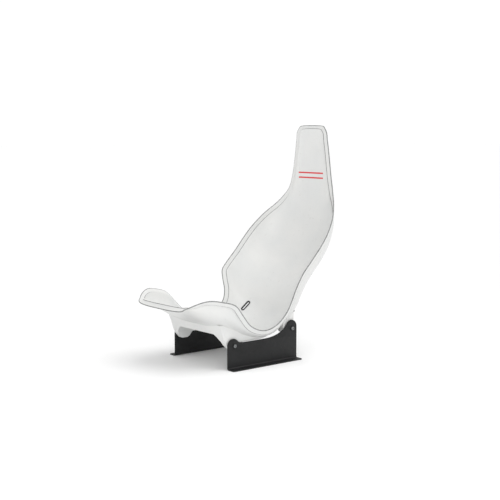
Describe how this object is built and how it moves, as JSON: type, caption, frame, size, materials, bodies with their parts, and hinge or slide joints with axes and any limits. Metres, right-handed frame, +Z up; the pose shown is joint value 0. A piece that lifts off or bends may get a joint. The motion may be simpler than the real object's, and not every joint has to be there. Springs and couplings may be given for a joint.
{
  "type": "racing seat",
  "caption": "Moulded one-piece bucket racing seat with a head rest, thigh wings and an edge band, bolted between two black folded steel side brackets.",
  "frame": {"origin": "on the plane under both brackets, below the middle of the whole seat's bounding box", "axes": "+Z up, -Y the way the seat faces, +X the occupant's left"},
  "size_m": [0.4798, 0.7908, 0.9101],
  "materials": {
    "shell": "satin white gelcoat over glass fibre",
    "bracket": "satin black powder coat on folded steel",
    "edging": "matt black moulded",
    "bolt": "bright zinc plate",
    "washer": "bright zinc plate",
    "spacer": "turned",
    "insert": "turned, unplated"
  },
  "bodies": {
    "root": {"seat_shell": "shell", "side_bracket_left": "bracket", "belt_slot_edging_left": "edging", "side_bracket_right": "bracket", "belt_slot_edging_right": "edging", "seat_bolt_front_left": "bolt", "bolt_washer_front_left": "washer", "spacer_washer_front_left": "spacer", "threaded_insert_front_left": "insert", "seat_bolt_front_right": "bolt", "bolt_washer_front_right": "washer", "spacer_washer_front_right": "spacer", "threaded_insert_front_right": "insert", "seat_bolt_rear_left": "bolt", "bolt_washer_rear_left": "washer", "spacer_washer_rear_left": "spacer", "threaded_insert_rear_left": "insert", "seat_bolt_rear_right": "bolt", "bolt_washer_rear_right": "washer", "spacer_washer_rear_right": "spacer", "threaded_insert_rear_right": "insert"}
  },
  "joints": []
}
